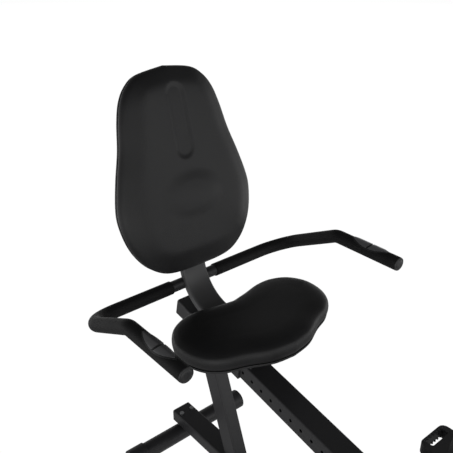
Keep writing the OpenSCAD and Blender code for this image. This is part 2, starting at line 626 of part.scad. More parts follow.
module at_grip() sides() translate([bar_x, bar_half, bar_z + bar_rise_z]) rotate([0, 90, 0]) children();
module bar_end_caps() color([0.12, 0.12, 0.12]) at_grip() {
    translate([0, 0, bar_end_x - 4 + fit]) cylinder(r = sleeve_r, h = 2);
    translate([0, 0, bar_end_x - 2]) cylinder(r1 = sleeve_r - 1, r2 = sleeve_r - 2, h = 2);
    translate([0, 0, bar_end_x - 24]) cylinder(r = bar_r - bar_wall - fit, h = 20.2);
}
sensor_x = 308;
sensor_l = 106;
sensor_w = 29;
module almond(l, w, r_in, r_out) intersection() {
    difference() {
        across_x(r_out, l + 4);
        across_x(r_in, l + 6);
    }
    for (k = [1]) intersection() {
        translate([0, almond_r(l, w) - w / 2, 0]) cylinder(r = almond_r(l, w), h = 40, $fn = 96);
        translate([0, w / 2 - almond_r(l, w), 0]) cylinder(r = almond_r(l, w), h = 40, $fn = 96);
    }
}
function almond_r(l, w) = (l * l / 4 + w * w / 4) / w;
module across_x(r, l) translate([-l / 2, 0, 0]) rotate([0, 90, 0]) cylinder(r = r, h = l);
module at_sensor() sides() translate([bar_x + sensor_x, bar_half, bar_z + bar_rise_z]) children();
module sensor_pods() color([0.06, 0.06, 0.06]) at_sensor() difference() {
    almond(sensor_l + 10, sensor_w + 3, sleeve_r + 0.05, sleeve_r + 0.9);
}
module sensor_plates() color([0.7, 0.7, 0.72]) at_sensor() difference() {
    almond(sensor_l - 4, sensor_w - 2.4, sleeve_r + 0.95, sleeve_r + 1.7);
    translate([-3, -40, 0]) cube([6, 80, 60]);
}
module seat_board() color([0.5, 0.38, 0.24]) translate([seat_x, 0, seat_z]) difference() {
    flat_plate(inset(seat_outline, 14), -board_t, -fit);
    for (x = [-40, 60], y = [-24, 24]) translate([x, y, -20]) cylinder(r = 3.6, h = 40, $fn = 24);
}
module seat_cushion() color([0.07, 0.07, 0.07]) translate([seat_x, 0, seat_z]) {
    flat_plate(seat_outline, 0, seat_pad * 0.62);
    flat_plate(inset(seat_outline, 16), seat_pad * 0.62 - 0.01, seat_pad);
}
module seat_shell() color([0.1, 0.1, 0.1]) translate([seat_x, 0, seat_z]) difference() {
    flat_plate(inset(seat_outline, 1), -shell_t, -fit);
    flat_plate(inset(seat_outline, 13), -board_t - fit, 1);
    for (x = [-40, 60], y = [-24, 24]) translate([x, y, -20]) cylinder(r = 4.4, h = 40, $fn = 24);
}
module seat_bolts() color([0.55, 0.55, 0.57]) translate([seat_x, 0, seat_z]) for (x = [-40, 60],
    y = [-24, 24])
    translate([x, y, -shell_t - fit]) mirror([0, 0, 1]) bolt(6, 4, 3.5, 10);
module in_back() translate([back_x, 0, back_z]) rotate([0, -recline, 0]) rotate([0, 90, 0]) mirror([1,
    0, 0]) children();
module back_board() color([0.5, 0.38, 0.24]) in_back() difference() {
    flat_plate(inset(back_outline, 16), -board_t, -fit);
    for (x = [-110, 10], y = [-22, 22]) translate([x, y, -20]) cylinder(r = 3.6, h = 40, $fn = 24);
}
module back_cushion() color([0.07, 0.07, 0.07]) in_back() hull() {
    flat_plate(back_outline, 0, 8);
    flat_plate(inset(back_outline, 44), back_pad - 1, back_pad);
}
module back_shell() color([0.1, 0.1, 0.1]) in_back() difference() {
    flat_plate(inset(back_outline, 1), -back_shell_t, -fit);
    flat_plate(inset(back_outline, 15), -board_t - fit, 1);
    for (x = [-110, 10], y = [-22, 22]) translate([x, y, -20]) cylinder(r = 4.4, h = 40, $fn = 24);
}
back_gap = 6;
module back_plate() color([0.3, 0.3, 0.32]) in_back() difference() {
    translate([-140, -post_w / 2, -back_shell_t - fit - back_plate_t]) cube([190, post_w, back_plate_t]);
    for (x = [-110, 10], y = [-22, 22]) translate([x, y, -60]) cylinder(r = 3.8, h = 80, $fn = 24);
}
module back_bolts() color([0.55, 0.55, 0.57]) in_back() for (x = [-110, 10], y = [-22, 22])
    translate([x, y, -back_shell_t - fit]) cylinder(r = 3.4, h = back_shell_t - 0.2, $fn = 24);
module lock_pin() color([0.1, 0.1, 0.1]) in_rail() translate([pin_s, 0, -rail_h / 2]) {
    across(rail_w / 2 + 0.6, rail_w / 2 + 34 + pin_travel, 4, 24);
    translate([0, rail_w / 2 + 30.5 + pin_travel, 0]) rotate([-90, 0, 0]) {
        cylinder(r1 = 11, r2 = 17, h = 10, $fn = 48);
        translate([0, 0, 9.99]) cylinder(r1 = 17, r2 = 14, h = 10, $fn = 48);
    }
}

seat_rail();
rail_end_plug();
rear_leg();
base_beam();
rear_stabilizer();
rear_foot_caps();
front_stabilizer();
front_foot_caps();
drive_plates();
mast();
front_handlebar();
front_grips();
housing_right();
housing_left();
flywheel_axle();
crank_bearings();
drive_belt();
console_back();
console_face();
console_screen();
frame_bolts();
housing_screws();
crank_axle();
crank_arm_right();
crank_arm_left();
drive_pulley();
pedal_right();
pedal_left();
pedal_strap_right();
pedal_strap_left();
flywheel();
magnet_arm();
tension_knob();
button_mode();
button_set();
button_reset();
transport_wheel_right();
transport_wheel_left();
seat_carriage();
glide_liners();
seat_upright();
riser_plates();
bar_cross_tube();
bar_arm_right();
bar_arm_left();
sleeve_right();
sleeve_left();
bar_end_caps();
sensor_pods();
sensor_plates();
seat_board();
seat_cushion();
seat_shell();
seat_bolts();
back_board();
back_cushion();
back_shell();
back_plate();
back_bolts();
lock_pin();
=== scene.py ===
import math

import bmesh
import bpy
from mathutils import Matrix, Vector
from mathutils.kdtree import KDTree


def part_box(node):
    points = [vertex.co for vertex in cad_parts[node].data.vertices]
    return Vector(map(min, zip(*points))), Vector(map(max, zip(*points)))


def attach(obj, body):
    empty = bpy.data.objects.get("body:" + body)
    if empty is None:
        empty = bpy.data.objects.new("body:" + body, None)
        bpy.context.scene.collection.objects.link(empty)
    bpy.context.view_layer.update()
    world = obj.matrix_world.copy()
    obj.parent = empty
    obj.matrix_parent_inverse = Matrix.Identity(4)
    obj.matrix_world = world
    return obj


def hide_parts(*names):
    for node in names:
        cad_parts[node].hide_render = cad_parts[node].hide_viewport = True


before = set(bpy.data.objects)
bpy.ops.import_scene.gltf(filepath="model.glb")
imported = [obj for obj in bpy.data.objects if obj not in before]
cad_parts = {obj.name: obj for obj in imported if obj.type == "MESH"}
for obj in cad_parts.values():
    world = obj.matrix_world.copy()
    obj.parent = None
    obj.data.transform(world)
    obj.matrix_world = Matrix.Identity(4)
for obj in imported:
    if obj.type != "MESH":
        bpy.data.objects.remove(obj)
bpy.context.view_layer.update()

# Centre of the seat handlebar's cross tube, in the bike's frame: seat positions are measured from it
BX, BZ = -0.546, 0.585
RECLINE = math.radians(15)


def P(x, y, z):
    return Vector((BX + x, y, BZ + z))


# ---- camera -------------------------------------------------------------------------------------------
cam_data = bpy.data.cameras.new("camera")
cam_data.lens = 50
cam_data.sensor_width = 36
cam = bpy.data.objects.new("camera", cam_data)
bpy.context.scene.collection.objects.link(cam)
cam.location = P(1.1548, -0.8496, 0.8602)
cam.rotation_euler = Vector((-0.688, 0.575, -0.4428)).to_track_quat("-Z", "Y").to_euler()
cam_data.clip_end = 50
bpy.context.scene.camera = cam


# ---- materials ----------------------------------------------------------------------------------------
def nodes_of(name):
    mat = bpy.data.materials.new(name)
    mat.use_nodes = True
    tree = mat.node_tree
    return mat, tree, tree.nodes["Principled BSDF"]


def blend_of(tree):
    node = tree.nodes.new("ShaderNodeMix")
    node.data_type = "RGBA"
    return node


def grain_group():
    """Upholstery grain: small rounded pebbles with creases between them."""
    g = bpy.data.node_groups.new("vinyl grain", "ShaderNodeTree")
    g.interface.new_socket("Scale", in_out="INPUT", socket_type="NodeSocketFloat").default_value = 700
    g.interface.new_socket("Strength", in_out="INPUT", socket_type="NodeSocketFloat").default_value = 0.3
    g.interface.new_socket("Normal", in_out="OUTPUT", socket_type="NodeSocketVector")
    g.interface.new_socket("Height", in_out="OUTPUT", socket_type="NodeSocketFloat")
    gi, go = g.nodes.new("NodeGroupInput"), g.nodes.new("NodeGroupOutput")
    where = g.nodes.new("ShaderNodeTexCoord")
    vor = g.nodes.new("ShaderNodeTexVoronoi")
    vor.feature = "SMOOTH_F1"
    noise = g.nodes.new("ShaderNodeTexNoise")
    noise.inputs["Detail"].default_value = 3
    mix = g.nodes.new("ShaderNodeMath")
    mix.operation = "MULTIPLY_ADD"
    mix.inputs[1].default_value = -0.7
    bump = g.nodes.new("ShaderNodeBump")
    bump.inputs["Distance"].default_value = 0.0005
    g.links.new(where.outputs["Object"], vor.inputs["Vector"])
    g.links.new(where.outputs["Object"], noise.inputs["Vector"])
    g.links.new(gi.outputs["Scale"], vor.inputs["Scale"])
    g.links.new(gi.outputs["Scale"], noise.inputs["Scale"])
    g.links.new(vor.outputs["Distance"], mix.inputs[0])
    g.links.new(noise.outputs["Fac"], mix.inputs[2])
    g.links.new(mix.outputs[0], bump.inputs["Height"])
    g.links.new(gi.outputs["Strength"], bump.inputs["Strength"])
    g.links.new(bump.outputs["Normal"], go.inputs["Normal"])
    g.links.new(mix.outputs[0], go.inputs["Height"])
    return g


def surface_group():
    """Fine unevenness and faint handling marks for hard surfaces, and a mask of their edges."""
    g = bpy.data.node_groups.new("worn surface", "ShaderNodeTree")
    g.interface.new_socket("Scale", in_out="INPUT", socket_type="NodeSocketFloat").default_value = 900
    g.interface.new_socket("Strength", in_out="INPUT", socket_type="NodeSocketFloat").default_value = 0.1
    g.interface.new_socket("Normal", in_out="OUTPUT", socket_type="NodeSocketVector")
    g.interface.new_socket("Marks", in_out="OUTPUT", socket_type="NodeSocketFloat")
    g.interface.new_socket("Edge", in_out="OUTPUT", socket_type="NodeSocketFloat")
    gi, go = g.nodes.new("NodeGroupInput"), g.nodes.new("NodeGroupOutput")
    where = g.nodes.new("ShaderNodeTexCoord")
    fine = g.nodes.new("ShaderNodeTexNoise")
    fine.inputs["Detail"].default_value = 2
    broad = g.nodes.new("ShaderNodeTexNoise")
    broad.inputs["Scale"].default_value = 14
    broad.inputs["Detail"].default_value = 6
    broad.inputs["Roughness"].default_value = 0.65
    bump = g.nodes.new("ShaderNodeBump")
    bump.inputs["Distance"].default_value = 0.0003
    geo = g.nodes.new("ShaderNodeNewGeometry")
    ramp = g.nodes.new("ShaderNodeMapRange")
    ramp.inputs["From Min"].default_value = 0.52
    ramp.inputs["From Max"].default_value = 0.62
    g.links.new(where.outputs["Object"], fine.inputs["Vector"])
    g.links.new(where.outputs["Object"], broad.inputs["Vector"])
    g.links.new(gi.outputs["Scale"], fine.inputs["Scale"])
    g.links.new(fine.outputs["Fac"], bump.inputs["Height"])
    g.links.new(gi.outputs["Strength"], bump.inputs["Strength"])
    g.links.new(geo.outputs["Pointiness"], ramp.inputs["Value"])
    g.links.new(bump.outputs["Normal"], go.inputs["Normal"])
    g.links.new(broad.outputs["Fac"], go.inputs["Marks"])
    g.links.new(ramp.outputs["Result"], go.inputs["Edge"])
    return g


GRAIN = grain_group()
SURFACE = surface_group()


def group_node(tree, group, **values):
    node = tree.nodes.new("ShaderNodeGroup")
    node.node_tree = group
    for key, value in values.items():
        node.inputs[key].default_value = value
    return node


def vinyl():
    mat, tree, bsdf = nodes_of("black grained vinyl")
    grain = group_node(tree, GRAIN, Scale=620, Strength=0.42)
    noise = tree.nodes.new("ShaderNodeTexNoise")
    noise.inputs["Scale"].default_value = 9
    noise.inputs["Detail"].default_value = 5
    color = blend_of(tree)
    color.inputs[6].default_value = (0.006, 0.006, 0.0066, 1)
    color.inputs[7].default_value = (0.010, 0.010, 0.0108, 1)
    rough = tree.nodes.new("ShaderNodeMapRange")
    rough.inputs["To Min"].default_value = 0.40
    rough.inputs["To Max"].default_value = 0.50
    tree.links.new(noise.outputs["Fac"], color.inputs[0])
    tree.links.new(noise.outputs["Fac"], rough.inputs["Value"])
    tree.links.new(color.outputs[2], bsdf.inputs["Base Color"])
    tree.links.new(rough.outputs["Result"], bsdf.inputs["Roughness"])
    tree.links.new(grain.outputs["Normal"], bsdf.inputs["Normal"])
    bsdf.inputs["IOR"].default_value = 1.5
    bsdf.inputs["Specular IOR Level"].default_value = 0.42
    return mat


def hard(name, color, lighter, roughness, scale=900, strength=0.1, edge=None, specular=0.5, coat=0.0):
    """Painted, moulded or bare hard surface with broad marks, a fine texture and lighter rubbed edges."""
    mat, tree, bsdf = nodes_of(name)
    look = group_node(tree, SURFACE, Scale=scale, Strength=strength)
    tone = blend_of(tree)
    tone.inputs[6].default_value = (*color, 1)
    tone.inputs[7].default_value = (*lighter, 1)
    tree.links.new(look.outputs["Marks"], tone.inputs[0])
    worn = blend_of(tree)
    worn.inputs[7].default_value = (*(edge or lighter), 1)
    tree.links.new(look.outputs["Edge"], worn.inputs[0])
    tree.links.new(tone.outputs[2], worn.inputs[6])
    rough = tree.nodes.new("ShaderNodeMapRange")
    rough.inputs["To Min"].default_value = roughness - 0.05
    rough.inputs["To Max"].default_value = roughness + 0.07
    tree.links.new(look.outputs["Marks"], rough.inputs["Value"])
    tree.links.new(worn.outputs[2], bsdf.inputs["Base Color"])
    tree.links.new(rough.outputs["Result"], bsdf.inputs["Roughness"])
    tree.links.new(look.outputs["Normal"], bsdf.inputs["Normal"])
    bsdf.inputs["Specular IOR Level"].default_value = specular
    bsdf.inputs["Coat Weight"].default_value = coat
    bsdf.inputs["Coat Roughness"].default_value = 0.25
    return mat


def brushed(name, color, roughness, axis):
    """Steel with fine lines across one direction."""
    mat, tree, bsdf = nodes_of(name)
    where = tree.nodes.new("ShaderNodeTexCoord")
    stretch = tree.nodes.new("ShaderNodeMapping")
    stretch.inputs["Scale"].default_value = axis
    lines = tree.nodes.new("ShaderNodeTexNoise")
    lines.inputs["Scale"].default_value = 30
    lines.inputs["Detail"].default_value = 6
    rough = tree.nodes.new("ShaderNodeMapRange")
    rough.inputs["To Min"].default_value = roughness - 0.08
    rough.inputs["To Max"].default_value = roughness + 0.1
    bump = tree.nodes.new("ShaderNodeBump")
    bump.inputs["Strength"].default_value = 0.12
    bump.inputs["Distance"].default_value = 0.0002
    tree.links.new(where.outputs["Object"], stretch.inputs["Vector"])
    tree.links.new(stretch.outputs["Vector"], lines.inputs["Vector"])
    tree.links.new(lines.outputs["Fac"], rough.inputs["Value"])
    tree.links.new(lines.outputs["Fac"], bump.inputs["Height"])
    tree.links.new(rough.outputs["Result"], bsdf.inputs["Roughness"])
    tree.links.new(bump.outputs["Normal"], bsdf.inputs["Normal"])
    bsdf.inputs["Base Color"].default_value = (*color, 1)
    bsdf.inputs["Metallic"].default_value = 1.0
    return mat


def wood():
    mat, tree, bsdf = nodes_of("birch plywood")
    where = tree.nodes.new("ShaderNodeTexCoord")
    stretch = tree.nodes.new("ShaderNodeMapping")
    stretch.inputs["Scale"].default_value = (8, 60, 60)
    noise = tree.nodes.new("ShaderNodeTexNoise")
    noise.inputs["Scale"].default_value = 3
    noise.inputs["Detail"].default_value = 8
    color = blend_of(tree)
    color.inputs[6].default_value = (0.36, 0.23, 0.12, 1)
    color.inputs[7].default_value = (0.52, 0.38, 0.23, 1)
    tree.links.new(where.outputs["Object"], stretch.inputs["Vector"])
    tree.links.new(stretch.outputs["Vector"], noise.inputs["Vector"])
    tree.links.new(noise.outputs["Fac"], color.inputs[0])
    tree.links.new(color.outputs[2], bsdf.inputs["Base Color"])
    bsdf.inputs["Roughness"].default_value = 0.6
    return mat


VINYL = vinyl()
PAINT = hard("black powder coat", (0.012, 0.012, 0.013), (0.02, 0.02, 0.021), 0.36, scale=1400, strength=0.12,
             edge=(0.028, 0.028, 0.03), specular=0.5)
# lighter than the black frame paint: part of this colour is a painted highlight standing in for the upright's
# reflection of the bright horizon
GRAPHITE_WITH_PAINTED_SHEEN = hard("graphite powder coat with painted sheen", (0.068, 0.068, 0.07), (0.082, 0.082, 0.084), 0.34,
                scale=1400, strength=0.12, edge=(0.06, 0.06, 0.063))
PLASTIC = hard("black moulded plastic", (0.013, 0.013, 0.014), (0.021, 0.021, 0.022), 0.44,
               scale=1100, strength=0.2, edge=(0.03, 0.03, 0.032))
FOAM = hard("black foam rubber", (0.007, 0.007, 0.0075), (0.012, 0.012, 0.0125), 0.62,
            scale=2200, strength=0.35, edge=(0.014, 0.014, 0.015), specular=0.22)
SHELL = hard("black shell plastic", (0.012, 0.012, 0.013), (0.018, 0.018, 0.019), 0.42,
             scale=1200, strength=0.16)
STEEL = brushed("zinc-plated steel", (0.52, 0.53, 0.54), 0.32, (4, 4, 90))
PLATE = brushed("sensor plate steel", (0.30, 0.30, 0.31), 0.34, (2, 120, 120))
IRON = brushed("machined iron", (0.36, 0.36, 0.37), 0.4, (40, 40, 40))
CRANK = hard("crank enamel", (0.018, 0.018, 0.019), (0.026, 0.026, 0.027), 0.28,
             edge=(0.2, 0.2, 0.21), coat=0.3)
STRAP = hard("strap rubber", (0.016, 0.016, 0.017), (0.025, 0.025, 0.026), 0.55, scale=700, strength=0.3)
BELT = hard("belt rubber", (0.01, 0.01, 0.01), (0.017, 0.017, 0.017), 0.6)
WHEEL = hard("wheel plastic", (0.02, 0.02, 0.021), (0.032, 0.032, 0.033), 0.5)
BUTTON = hard("grey button plastic", (0.19, 0.19, 0.2), (0.24, 0.24, 0.25), 0.4)
GLIDE = hard("white glide plastic", (0.62, 0.62, 0.6), (0.7, 0.7, 0.67), 0.45)
SCREEN = hard("display window", (0.16, 0.19, 0.17), (0.18, 0.21, 0.19), 0.12, strength=0.0, coat=1.0)
WOOD = wood()

LOOKS = {
    PAINT: "seat_rail rear_leg base_beam rear_stabilizer front_stabilizer drive_plates mast front_handlebar "
           "seat_carriage riser_plates bar_cross_tube bar_arm_right bar_arm_left",
    # the upright and back plate take the lightened paint, whose colour carries a painted highlight
    GRAPHITE_WITH_PAINTED_SHEEN: "seat_upright back_plate",
    PLASTIC: "rail_end_plug rear_foot_caps front_foot_caps housing_right housing_left console_back "
             "console_face bar_end_caps sensor_pods tension_knob pedal_right pedal_left lock_pin "
             "drive_pulley",
    SHELL: "seat_shell back_shell",
    FOAM: "sleeve_right sleeve_left front_grips",
    VINYL: "seat_cushion back_cushion",
    WOOD: "seat_board back_board",
    STEEL: "flywheel_axle crank_bearings frame_bolts housing_screws crank_axle seat_bolts back_bolts "
           "magnet_arm",
    PLATE: "sensor_plates",
    IRON: "flywheel",
    CRANK: "crank_arm_right crank_arm_left",
    STRAP: "pedal_strap_right pedal_strap_left",
    BELT: "drive_belt",
    WHEEL: "transport_wheel_right transport_wheel_left",
    BUTTON: "button_mode button_set button_reset",
    GLIDE: "glide_liners",
    SCREEN: "console_screen",
}
for mat, names in LOOKS.items():
    for name in names.split():
        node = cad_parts[name]
        node.data.materials.clear()
        node.data.materials.append(mat)


# ---- helpers ------------------------------------------------------------------------------------------
def shade_smooth(obj):
    for p in obj.data.polygons:
        p.use_smooth = True


def bevelled(obj, width, segments, sharper_than):
    bevel = obj.modifiers.new("edge", "BEVEL")
    bevel.width = width
    bevel.segments = segments
    bevel.limit_method = "ANGLE"
    bevel.angle_limit = math.radians(sharper_than)
    bevel.harden_normals = True


def mesh_object(name, verts, faces, mat, smooth=True):
    mesh = bpy.data.meshes.new(name)
    mesh.from_pydata([tuple(v) for v in verts], [], faces)
    mesh.validate()
    mesh.materials.append(mat)
    obj = bpy.data.objects.new(name, mesh)
    bpy.context.scene.collection.objects.link(obj)
    if smooth:
        shade_smooth(obj)
    return obj


def place(obj, body, node):
    """Let a piece ride on a body in the place of one plain part."""
    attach(obj, body)
    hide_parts(node)


def between(four, t):
    """The point at t between the second and third of four points on a smooth curve."""
    return tuple(0.5 * (2 * b + (c - a) * t + (2 * a - 5 * b + 4 * c - d) * t * t
                        + (3 * b - a - 3 * c + d) * t ** 3) for a, b, c, d in zip(*four))


def catmull(points, steps):
    """A smooth open curve through the points, as a list."""
    out = []
    n = len(points)
    for i in range(n - 1):
        four = points[max(i - 1, 0)], points[i], points[i + 1], points[min(i + 2, n - 1)]
        out += [between(four, k / steps) for k in range(steps)]
    out.append(tuple(points[-1]))
    return out


def even(points, count, closed=False):
    """The same line with its points spaced evenly."""
    pts = [Vector(p) for p in points]
    if closed:
        pts.append(pts[0])
    run = [0.0]
    for a, b in zip(pts, pts[1:]):
        run.append(run[-1] + (b - a).length)
    out, j = [], 0
    steps = count if closed else count - 1
    for k in range(count):
        s = run[-1] * k / steps
        while j < len(run) - 2 and run[j + 1] < s:
            j += 1
        f = (s - run[j]) / max(run[j + 1] - run[j], 1e-12)
        out.append(pts[j].lerp(pts[j + 1], min(max(f, 0), 1)))
    return out


def closed_outline(half, count):
    """Mirror a half outline, given from centre to centre, and space it evenly."""
    line = catmull(half, 8)
    full = line + [(p[0], -p[1]) for p in reversed(line[1:-1])]
    return even([(p[0], p[1], 0) for p in full], count, closed=True)


def offset_ring(outline, off):
    """Move a clockwise outline inwards by off."""
    ring = []
    for k, p in enumerate(outline):
        q, r = outline[(k + 1) % len(outline)], outline[k - 1]
        t = Vector((q[0] - r[0], q[1] - r[1])).normalized()
        ring.append((p[0] + off * t.y, p[1] - off * t.x))
    return ring


def loft(name, rings, mat, caps=True):
    """Skin a stack of closed rings with equal point counts."""
    n = len(rings[0])
    verts = [v for ring in rings for v in ring]
    faces = []
    for i in range(len(rings) - 1):
        for k in range(n):
            a, b = i * n + k, i * n + (k + 1) % n
            faces.append((a, b, b + n, a + n))
    if caps:
        base = (len(rings) - 1) * n
        faces.append(tuple(range(n - 1, -1, -1)))
        faces.append(tuple(range(base, base + n)))
    return mesh_object(name, verts, faces, mat)


# ---- light --------------------------------------------------------------------------------------------
def ramp_node(tree, stops):
    ramp = tree.nodes.new("ShaderNodeValToRGB")
    ends = ramp.color_ramp.elements
    ends[0].position, ends[1].position = stops[0][0], stops[-1][0]
    for at, _ in stops[1:-1]:
        ends.new(at)
    for e, (at, v) in zip(sorted(ends, key=lambda e: e.position), stops):
        e.color = (v, v, v, 1)
    return ramp


def studio():
    """White below and around, falling to a dark ceiling; the front of the tent is brighter than its back."""
    world = bpy.data.worlds.new("studio")
    bpy.context.scene.world = world
    world.use_nodes = True
    tree = world.node_tree
    link = tree.links.new
    where = tree.nodes.new("ShaderNodeTexCoord")
    split = tree.nodes.new("ShaderNodeSeparateXYZ")
    height = tree.nodes.new("ShaderNodeMapRange")
    height.inputs["From Min"].default_value = -1
    link(where.outputs["Generated"], split.inputs["Vector"])
    link(split.outputs["Z"], height.inputs["Value"])
    bright = ramp_node(tree, [(0.0, 1.0), (0.55, 1.0), (0.63, 0.7), (0.72, 0.32), (0.85, 0.13), (1.0, 0.08)])
    dim = ramp_node(tree, [(0.0, 1.0), (0.44, 1.0), (0.5, 0.62), (0.6, 0.34), (0.7, 0.15), (1.0, 0.08)])
    link(height.outputs["Result"], bright.inputs["Fac"])
    link(height.outputs["Result"], dim.inputs["Fac"])
    toward = tree.nodes.new("ShaderNodeVectorMath")
    toward.operation = "DOT_PRODUCT"
    toward.inputs[1].default_value = (0.94, -0.34, 0)
    link(where.outputs["Generated"], toward.inputs[0])
    facing = tree.nodes.new("ShaderNodeMapRange")
    facing.interpolation_type = "SMOOTHSTEP"
    facing.inputs["From Min"].default_value = 0.1
    facing.inputs["From Max"].default_value = 0.75
    link(toward.outputs["Value"], facing.inputs["Value"])
    mix = blend_of(tree)
    link(facing.outputs["Result"], mix.inputs[0])
    link(dim.outputs["Color"], mix.inputs[6])
    link(bright.outputs["Color"], mix.inputs[7])
    link(mix.outputs[2], tree.nodes["Background"].inputs["Color"])
    tree.nodes["Background"].inputs["Strength"].default_value = 1.02


def glow_card(name, centre, radius, level):
    """Round card under the set that gives the undersides a soft grey to mirror. The camera doesn't see it."""
    mat = bpy.data.materials.new(name)
    mat.use_nodes = True
    tree = mat.node_tree
    glow = tree.nodes.new("ShaderNodeEmission")
    glow.inputs["Color"].default_value = (level, level, level, 1)
    tree.links.new(glow.outputs[0], tree.nodes["Material Output"].inputs["Surface"])
    ring = [Vector(centre) + Vector((radius * math.cos(a), radius * math.sin(a), 0))
            for a in (2 * math.pi * k / 48 for k in range(48))]
    card = mesh_object(name, ring, [tuple(range(48))], mat, smooth=False)
    card.visible_camera = False
    card.visible_shadow = False


def area_light(name, at, look_at, size, energy):
    data = bpy.data.lights.new(name, "AREA")
    data.shape = "RECTANGLE"
    data.size, data.size_y = size
    data.energy = energy
    obj = bpy.data.objects.new(name, data)
    obj.location = at
    obj.rotation_euler = (Vector(look_at) - Vector(at)).to_track_quat("-Z", "Y").to_euler()
    bpy.context.scene.collection.objects.link(obj)


# ---- pads ---------------------------------------------------------------------------------------------
MM = 0.001
BACK_HALF = [(-200, 0), (-199, 60), (-190, 105), (-165, 143), (-130, 170), (-90, 187), (-40, 196), (0, 193),
             (60, 178), (125, 158), (190, 144), (235, 129), (267, 106), (288, 72), (299, 0)]
SEAT_HALF = [(-98, 0), (-106, 45), (-117, 95), (-115, 140), (-93, 182), (-50, 208), (0, 208), (40, 190),
             (66, 158), (84, 110), (110, 55), (119, 0)]


def back_to_bike(h, y, d):
    """Backrest's own frame: h up its face, y to the rider's left, d forward out of the rim plane, in mm."""
    c, s = math.cos(RECLINE), math.sin(RECLINE)
    return P((-30 + d * c - h * s) * MM, y * MM, (250 + d * s + h * c) * MM)


def seat_to_bike(x, y, d):
    return P((260 + x) * MM, y * MM, (-20 + d) * MM)


def profile(table):
    """A smooth height curve through (inset, height) pairs."""
    line = catmull(table, 10)

    def height(e):
        if e <= line[0][0]:
            return line[0][1]
        for a, b in zip(line, line[1:]):
            if e <= b[0]:
                return a[1] + (b[1] - a[1]) * (e - a[0]) / max(b[0] - a[0], 1e-9)
        return line[-1][1]
    return height


def smoothstep(a, b, x):
    t = min(max((x - a) / (b - a), 0.0), 1.0)
    return t * t * (3 - 2 * t)


def inset_of(outline):
    """Distance from a flat point to the outline, by a search tree over dense samples."""
    tree = KDTree(len(outline))
    for i, p in enumerate(outline):
        tree.insert((p[0], p[1], 0), i)
    tree.balance()
    return lambda a, b: tree.find((a, b, 0))[2]


def pad_rings(outline, centre, fractions):
    return [[(centre[0] + (p[0] - centre[0]) * f, centre[1] + (p[1] - centre[1]) * f) for p in outline]
            for f in fractions]


def pad_mesh(name, half, centre, height, to_bike, around, rings, mat, wall, under=-3.0):
    """Closed pad: a crowned face over the outline, a tucked edge and a flat underside."""
    outline = closed_outline(half, around)
    inset = inset_of(closed_outline(half, around * 5))
    fractions = [1 - 0.5 * (i / rings) ** 1.6 - 0.5 * (i / rings) for i in range(rings)]
    verts, faces = [], []
    for ring in pad_rings(outline, centre, fractions):
        for a, b in ring:
            verts.append(to_bike(a, b, height(a, b, inset(a, b))))
    n = around
    for i in range(rings - 1):
        for k in range(n):
            a, b = i * n + k, i * n + (k + 1) % n
            faces.append((a, a + n, b + n, b))
    verts.append(to_bike(*centre, height(*centre, inset(*centre))))
    top = len(verts) - 1
    for k in range(n):
        faces.append(((rings - 1) * n + k, top, (rings - 1) * n + (k + 1) % n))
    start = len(verts)
    tucks = wall + [(1.2, -0.6), (3.5, under * 0.55), (8.0, under), (30.0, under)]
    for off, d in tucks:
        verts += [to_bike(a, b, d) for a, b in offset_ring(outline, off)]
    for k in range(n):
        b = (k + 1) % n
        faces.append((k, b, start + b, start + k))
    for j in range(len(tucks) - 1):
        for k in range(n):
            a, b = start + j * n + k, start + j * n + (k + 1) % n
            faces.append((a, b, b + n, a + n))
    last = start + (len(tucks) - 1) * n
    faces.append(tuple(range(last + n - 1, last - 1, -1)))
    obj = mesh_object(name, verts, faces, mat)
    bm = bmesh.new()
    bm.from_mesh(obj.data)
    bmesh.ops.recalc_face_normals(bm, faces=bm.faces)
    bm.to_mesh(obj.data)
    bm.free()
    return obj


def swell(pad, rough, voxel, cap, tight, rim_plane, pressure=4.0):
    """Blow a rough copy up as cloth with its rim held, and carry the swelling over to the finished pad."""
    scene = bpy.context.scene
    mod = rough.modifiers.new("remesh", "REMESH")
    mod.mode = "VOXEL"
    mod.voxel_size = voxel
    dg = bpy.context.evaluated_depsgraph_get()
    mesh = bpy.data.meshes.new_from_object(rough.evaluated_get(dg))
    rough.modifiers.clear()
    rough.data = mesh
    start = [v.co.copy() for v in mesh.vertices]
    held = rough.vertex_groups.new(name="held")
    point, normal = rim_plane
    for i, co in enumerate(start):
        if (co - point).dot(normal) < 0.009:
            held.add([i], 1.0, "REPLACE")
    cloth = rough.modifiers.new("cloth", "CLOTH")
    cloth.settings.vertex_group_mass = "held"
    cloth.settings.use_pressure = True
    cloth.settings.uniform_pressure_force = pressure
    cloth.settings.effector_weights.gravity = 0
    cloth.settings.tension_stiffness = 25
    cloth.settings.bending_stiffness = 2
    cloth.settings.quality = 5
    for f in range(1, 21):
        scene.frame_set(f)
    dg = bpy.context.evaluated_depsgraph_get()
    done = rough.evaluated_get(dg).to_mesh()
    tree = KDTree(len(start))
    for i, co in enumerate(start):
        tree.insert(co, i)
    tree.balance()
    moves = []
    for i, co in enumerate(start):
        m = done.vertices[i].co - co
        moves.append(m * (cap / max(m.length, cap)))
    # the cover is stretched tight over the foam, so only the broad swelling is kept, never the wrinkles
    near = [[] for _ in start]
    for e in mesh.edges:
        a, b = e.vertices
        near[a].append(b)
        near[b].append(a)
    for _ in range(30):
        moves = [(m + sum((moves[j] for j in near[i]), Vector())) / (1 + len(near[i])) if near[i] else m
                 for i, m in enumerate(moves)]
    most = max(m.length for m in moves)
    moves = [m * (tight / max(most, tight)) for m in moves]
    for v in pad.data.vertices:
        total, weight = Vector(), 0.0
        for co, i, dist in tree.find_n(v.co, 8):
            w = 1 / (dist * dist + 1e-6)
            total += moves[i] * w
            weight += w
        v.co += total / weight
    scene.frame_set(1)
    bpy.data.objects.remove(rough, do_unlink=True)
    pad.data.update()


